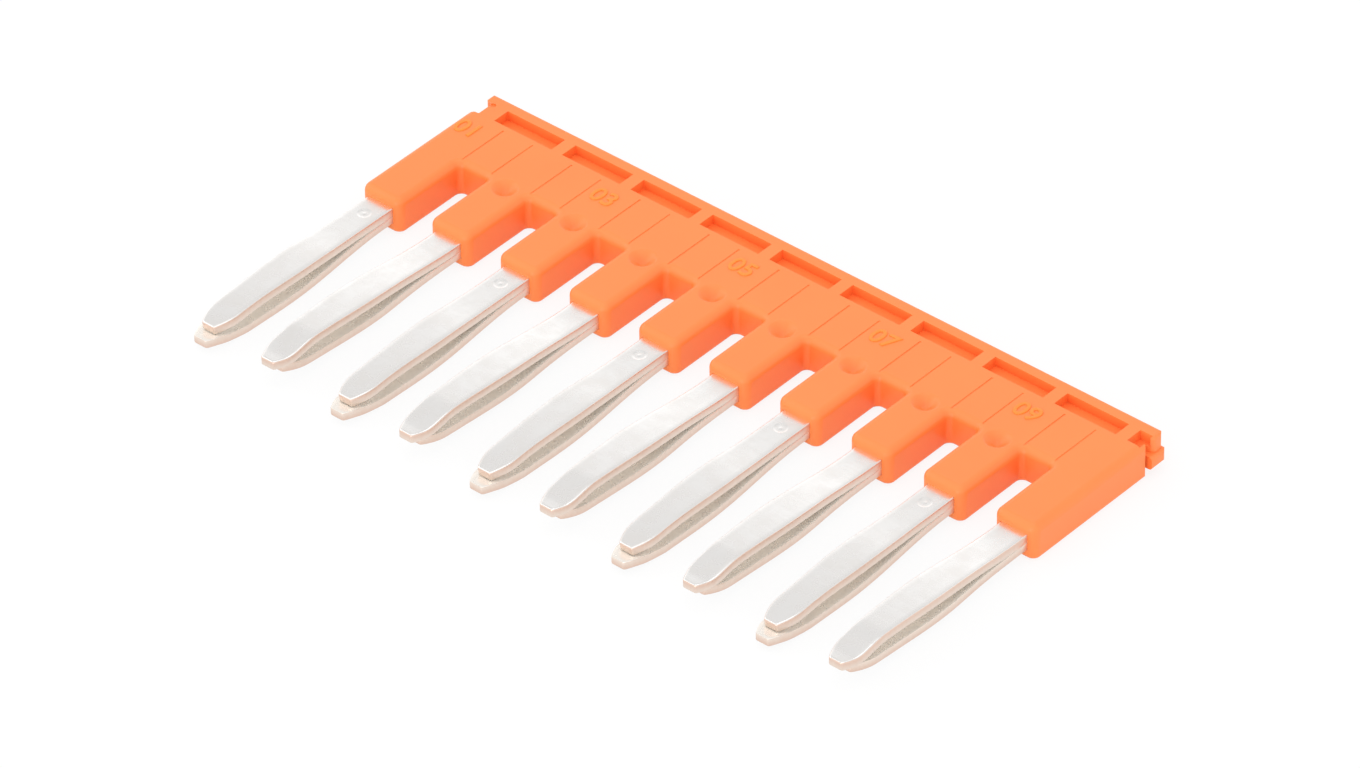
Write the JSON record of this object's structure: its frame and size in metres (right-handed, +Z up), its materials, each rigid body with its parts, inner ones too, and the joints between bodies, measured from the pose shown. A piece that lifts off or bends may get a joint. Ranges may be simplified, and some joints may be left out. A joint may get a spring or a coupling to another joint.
{
  "type": "terminal block jumper bar",
  "caption": "Flat plug-in jumper bar: an insulated comb housing with pairs of spring contact legs that bridge neighbouring terminal blocks.",
  "frame": {"origin": "middle of the row of poles, on the front faces of the housing's fingers, at the level of the housing's underside", "axes": "+X along the row of poles, -Y the way the legs plug in, +Y toward the back rail, +Z up from the underside, through the thickness"},
  "size_m": [0.0588, 0.0313, 0.0028],
  "materials": {
    "housing_polyamide": "moulded orange polyamide, fine satin texture",
    "tinned_copper": "matt tin plating on stamped copper, bare copper bands on the cut edges"
  },
  "bodies": {
    "root": {"housing": "housing_polyamide", "contact_comb_upper": "tinned_copper", "contact_comb_lower": "tinned_copper"}
  },
  "joints": []
}
